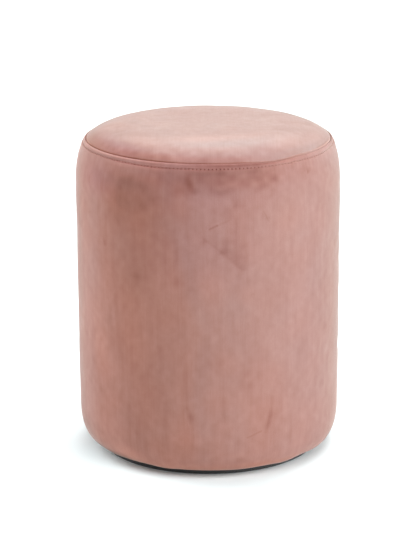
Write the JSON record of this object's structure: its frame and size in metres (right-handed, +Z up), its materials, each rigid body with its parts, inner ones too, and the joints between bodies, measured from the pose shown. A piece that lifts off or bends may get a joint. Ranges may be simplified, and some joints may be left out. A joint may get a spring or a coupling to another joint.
{
  "type": "round pouf",
  "caption": "Round upholstered pouf: a filled velvet drum with a crowned, topstitched top, used as a low seat or footstool, standing on a low black base.",
  "frame": {"origin": "on the floor, at the centre of the flat underside of the base", "axes": "+Z up along the pouf's axis of revolution; the closing seam of the side panel is towards +Y, so the front is towards -Y"},
  "size_m": [0.3609, 0.3605, 0.4549],
  "materials": {
    "velvet": "short-pile velvet in dusty pink, matte, paler at grazing angles",
    "black_base": "matte black board"
  },
  "bodies": {
    "root": {"base": "black_base", "side_panel": "velvet", "top_panel": "velvet"}
  },
  "joints": []
}
